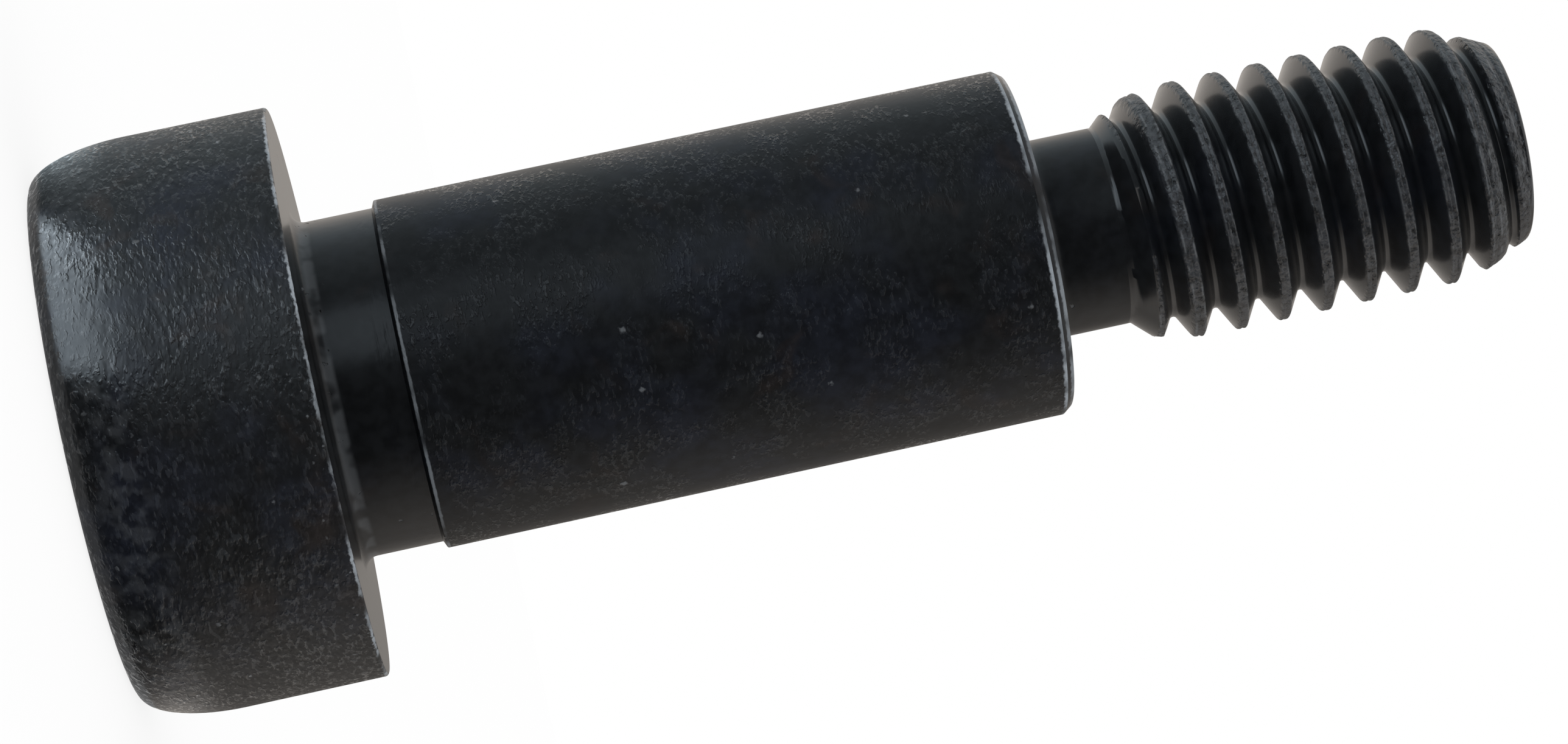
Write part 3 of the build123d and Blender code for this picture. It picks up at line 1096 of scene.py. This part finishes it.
class SHOULDERBOLT_OT_studio(bpy.types.Operator):
    """Sets the floor, the lamp, the white surroundings and the camera"""

    bl_idname = "shoulder_bolt.studio"
    bl_label = "Studio"

    def execute(self, context):
        colours = context.scene.shoulder_bolt_studio
        self.place_camera(context)
        self.lay_floor(colours)
        self.stand_reflector(colours)
        self.hang_lamp(context)
        self.light_world(context)
        context.scene.view_settings.view_transform = "Standard"
        return {"FINISHED"}

    def place_camera(self, context):
        """The camera looks along +Y at the bolt on its side: the picture's right is +Z."""
        right = Vector((0, 0, 1))
        ahead = Vector((0, 1, 0))
        up = Vector((-1, 0, 0))
        roll = Matrix.Rotation(CAMERA_ROLL, 3, ahead)
        right, up = roll @ right, roll @ up
        pan = Matrix.Rotation(CAMERA_PAN, 3, up)
        ahead, right = pan @ ahead, pan @ right
        tilt = Matrix.Rotation(CAMERA_TILT, 3, right)
        ahead, up = tilt @ ahead, tilt @ up
        facing = Matrix((right, up, -ahead)).transposed().to_4x4()
        lens = bpy.data.cameras.new("camera")
        lens.sensor_width = SENSOR_WIDTH
        lens.lens = CAMERA_FOCAL_PIXELS / IMAGE_WIDTH * lens.sensor_width
        lens.shift_x = CAMERA_SHIFT_X
        lens.shift_y = CAMERA_SHIFT_Y
        lens.clip_start = CLIP_START
        camera = bpy.data.objects.new("camera", lens)
        context.scene.collection.objects.link(camera)
        camera.matrix_world = Matrix.Translation((0, -CAMERA_DISTANCE, CAMERA_HEIGHT)) @ facing
        context.scene.camera = camera

    def lay_floor(self, colours):
        """A pale floor that shows white to the camera and to gloss, and keeps a soft shadow."""
        deselect_all()
        bpy.ops.mesh.primitive_plane_add(size=FLOOR_SIZE, location=(0, 0, -FLOOR_GAP))
        floor = bpy.context.object
        floor.name = "floor"
        material = bpy.data.materials.new("pale_floor")
        material.use_nodes = True
        tree = material.node_tree
        tree.nodes.clear()
        light_path = tree.nodes.new("ShaderNodeLightPath").outputs
        seen = maths(tree, "MAXIMUM", light_path["Is Camera Ray"], light_path["Is Glossy Ray"])
        seen = maths(tree, "MAXIMUM", seen, light_path["Is Transmission Ray"])
        matt = add_node(tree, "ShaderNodeBsdfDiffuse", {"Color": (*colours.floor_white, 1)})
        white = add_node(tree, "ShaderNodeEmission", {"Color": (1, 1, 1, 1), "Strength": 1.0})
        mixed = add_node(tree, "ShaderNodeMixShader", {0: maths(tree, "MULTIPLY", seen, FLOOR_GLOW)})
        tree.links.new(matt.outputs[0], mixed.inputs[1])
        tree.links.new(white.outputs[0], mixed.inputs[2])
        out = tree.nodes.new("ShaderNodeOutputMaterial")
        tree.links.new(mixed.outputs[0], out.inputs["Surface"])
        floor.data.materials.append(material)

    def stand_reflector(self, colours):
        """A ring of glowing card around the bolt that only its gloss sees: cool, dark and warm by
        turns, with a painted pool of lamp light on its floor near the head.
        """
        deselect_all()
        bpy.ops.mesh.primitive_circle_add(vertices=96, radius=CARD_START, location=(0, 0, CARD_LIFT))
        card = bpy.context.object
        card.name = "reflector_card"
        edit_whole(card)
        bpy.ops.mesh.extrude_region_move()
        spread = CARD_RADIUS / CARD_START
        bpy.ops.transform.resize(value=(spread, spread, 1), center_override=(0, 0, 0))
        bpy.ops.mesh.extrude_region_move(TRANSFORM_OT_translate={"value": (0, 0, CARD_HEIGHT)})
        bpy.ops.object.mode_set(mode="OBJECT")
        bpy.ops.object.transform_apply(location=True, rotation=False, scale=False)
        material = bpy.data.materials.new("reflector_card")
        material.use_nodes = True
        tree = material.node_tree
        tree.nodes.clear()
        axes = add_node(
            tree, "ShaderNodeSeparateXYZ", {0: tree.nodes.new("ShaderNodeTexCoord").outputs["Object"]}
        ).outputs
        towards_camera = maths(tree, "MULTIPLY", axes["Y"], -1.0)
        angle = maths(tree, "DEGREES", maths(tree, "ARCTAN2", axes["X"], towards_camera))
        turned = maths(tree, "ADD", maths(tree, "DIVIDE", angle, 360.0), 0.5)
        ramp = add_node(tree, "ShaderNodeValToRGB", {0: turned})
        stops = ramp.color_ramp.elements
        for degrees, side, strength in CARD_TONES:
            stop = stops.new(degrees / 360 + 0.5)
            stop.color = (*(part * strength for part in getattr(colours, side)), 1)
        for end in (stops[0], stops[-1]):
            end.color = (*(part * CARD_END_TONE for part in colours.warm_side), 1)
        before = remap(tree, angle, LAMP_ANGLE - PATCH_END, LAMP_ANGLE - PATCH_FULL)
        after = remap(tree, angle, LAMP_ANGLE + PATCH_END, LAMP_ANGLE + PATCH_FULL)
        on_floor = maths(tree, "LESS_THAN", axes["Z"], CARD_HEIGHT / 100)
        lit = maths(tree, "MULTIPLY", maths(tree, "MULTIPLY", before, after), on_floor)
        away = add_node(
            tree, "ShaderNodeVectorMath", {0: tree.nodes.new("ShaderNodeTexCoord").outputs["Object"]},
            operation="LENGTH",
        ).outputs["Value"]
        # Painted pool of lamp light: its glow is strongest near the head, where the head's rim
        # reflects it as a highlight
        strength = remap(tree, away, NEAR_END, NEAR_FULL, PAINTED_POOL_ON_FLOOR, PAINTED_POOL_NEAR_HEAD)
        lit = maths(tree, "MULTIPLY", lit, strength)
        lit = scaled(tree, colours.lamp_tint, lit)
        light = add_node(
            tree, "ShaderNodeVectorMath", {0: ramp.outputs["Color"], 1: lit}, operation="ADD"
        ).outputs[0]
        glow = add_node(tree, "ShaderNodeEmission", {"Color": light})
        out = tree.nodes.new("ShaderNodeOutputMaterial")
        tree.links.new(glow.outputs[0], out.inputs["Surface"])
        card.data.materials.append(material)
        card.visible_camera = False
        card.visible_diffuse = False
        card.visible_shadow = False
        card.visible_transmission = False

    def hang_lamp(self, context):
        """One soft lamp beside the camera, towards the upper side of the picture."""
        lamp_data = bpy.data.lights.new("soft_lamp", "AREA")
        lamp_data.shape = "RECTANGLE"
        lamp_data.size = LAMP_WIDTH
        lamp_data.size_y = LAMP_HEIGHT
        lamp_data.energy = LAMP_WATTS
        lamp_data.color = context.scene.shoulder_bolt_studio.lamp_tint
        lamp = bpy.data.objects.new("soft_lamp", lamp_data)
        context.scene.collection.objects.link(lamp)
        angle = math.radians(LAMP_ANGLE)
        place = Vector((
            LAMP_DISTANCE * math.sin(angle), -LAMP_DISTANCE * math.cos(angle), LAMP_HEIGHT / 2,
        ))
        target = Vector((0, 0, LAMP_HEIGHT / 2))
        lamp.matrix_world = Matrix.Translation(place) @ (
            (target - place).to_track_quat("-Z", "Y").to_matrix().to_4x4()
        )
        lamp.visible_camera = False

    def light_world(self, context):
        """White surroundings at the strength at which a colour renders as it is written."""
        world = bpy.data.worlds.new("white_studio")
        world.use_nodes = True
        world.node_tree.nodes["Background"].inputs["Color"].default_value = (1, 1, 1, 1)
        context.scene.world = world


class SHOULDERBOLT_PT_panel(bpy.types.Panel):
    """Lists the bolt's sizes and the steps that build it"""

    bl_label = "Shoulder bolt"
    bl_idname = "SHOULDERBOLT_PT_panel"
    bl_space_type = "VIEW_3D"
    bl_region_type = "UI"
    bl_category = "Shoulder bolt"

    def draw(self, context):
        scene = context.scene
        groups = (body_sizes(), thread_sizes(), scene.shoulder_bolt_finish, scene.shoulder_bolt_studio)
        for group in groups:
            box = self.layout.box()
            for name in group.__annotations__:
                box.prop(group, name)
        for step in STEPS:
            self.layout.operator(step.bl_idname)


STEPS = (
    SHOULDERBOLT_OT_turned_body,
    SHOULDERBOLT_OT_hexagon_socket,
    SHOULDERBOLT_OT_rolled_thread,
    SHOULDERBOLT_OT_finishes,
    SHOULDERBOLT_OT_place_piece,
    SHOULDERBOLT_OT_studio,
)
CLASSES = (
    BodySizes, ThreadSizes, FinishColours, StudioColours, *STEPS, SHOULDERBOLT_PT_panel,
)


def register():
    for each in CLASSES:
        bpy.utils.register_class(each)
    bpy.types.Scene.shoulder_bolt_body = bpy.props.PointerProperty(type=BodySizes)
    bpy.types.Scene.shoulder_bolt_thread = bpy.props.PointerProperty(type=ThreadSizes)
    bpy.types.Scene.shoulder_bolt_finish = bpy.props.PointerProperty(type=FinishColours)
    bpy.types.Scene.shoulder_bolt_studio = bpy.props.PointerProperty(type=StudioColours)


def unregister():
    del bpy.types.Scene.shoulder_bolt_studio
    del bpy.types.Scene.shoulder_bolt_finish
    del bpy.types.Scene.shoulder_bolt_thread
    del bpy.types.Scene.shoulder_bolt_body
    for each in reversed(CLASSES):
        bpy.utils.unregister_class(each)


def main():
    register()
    bpy.ops.shoulder_bolt.turned_body()
    bpy.ops.shoulder_bolt.hexagon_socket()
    bpy.ops.shoulder_bolt.rolled_thread()
    bpy.ops.shoulder_bolt.finishes()
    bpy.ops.shoulder_bolt.place_piece()
    bpy.ops.shoulder_bolt.studio()


if __name__ == "__main__":
    main()
